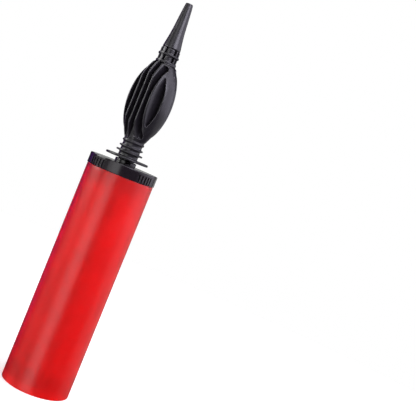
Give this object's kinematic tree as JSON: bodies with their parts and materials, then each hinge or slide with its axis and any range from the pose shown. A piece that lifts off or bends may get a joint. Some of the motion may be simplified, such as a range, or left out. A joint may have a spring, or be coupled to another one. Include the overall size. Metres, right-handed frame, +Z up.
{
  "type": "hand air pump",
  "caption": "Double-action hand pump for balloons and balls: barrel, snap-fit cap, sliding hollow rod, finned grip and tapered nozzle.",
  "frame": {"origin": "centre of the barrel's foot, on the plane it stands on", "axes": "+Z up the pump's axis towards the nozzle tip; the grip's fins stand in planes parallel to YZ"},
  "size_m": [0.05, 0.05, 0.29],
  "materials": {
    "red_plastic": "glossy, slightly translucent",
    "black_plastic": "satin moulded",
    "natural_plastic": "uncoloured, satin",
    "rubber": "matte",
    "spring_steel": "plain"
  },
  "bodies": {
    "barrel": {"barrel": "red_plastic", "intake_valve_pin": "black_plastic", "barrel_cap": "black_plastic", "cap_gasket": "rubber", "rod_guide_bush": "black_plastic", "cap_valve_retainer": "natural_plastic"},
    "intake_flap": {"intake_flap": "rubber"},
    "cap_valve_ring": {"cap_valve_ring": "rubber"},
    "stroke_bumper": {"stroke_bumper": "rubber"},
    "handle": {"piston_base": "natural_plastic", "piston_top_plate": "natural_plastic", "piston_snap_ring": "spring_steel", "pump_rod": "black_plastic", "rod_end_plug": "natural_plastic", "rod_socket_seal": "rubber", "grip": "black_plastic", "nozzle_seal": "rubber", "nozzle": "black_plastic"},
    "piston_seal_ring": {"piston_seal_ring": "rubber"}
  },
  "joints": [
    {"name": "pump_stroke", "type": "slide", "parent": "barrel", "child": "stroke_bumper", "axis": [0, 0, 1], "range_m": [0, 0.133]},
    {"name": "handle_spin", "type": "hinge", "parent": "stroke_bumper", "child": "handle", "pos_m": [0, 0, 0], "axis": [0, 0, 1], "continuous": true},
    {"name": "seal_shuttle", "type": "slide", "parent": "handle", "child": "piston_seal_ring", "axis": [0, 0, 1], "range_m": [0, 0.0012]},
    {"name": "intake_flap_lift", "type": "slide", "parent": "barrel", "child": "intake_flap", "axis": [0, 0, 1], "range_m": [0, 0.001]},
    {"name": "cap_valve_lift", "type": "slide", "parent": "barrel", "child": "cap_valve_ring", "axis": [0, 0, 1], "range_m": [0, 0.0012]}
  ]
}
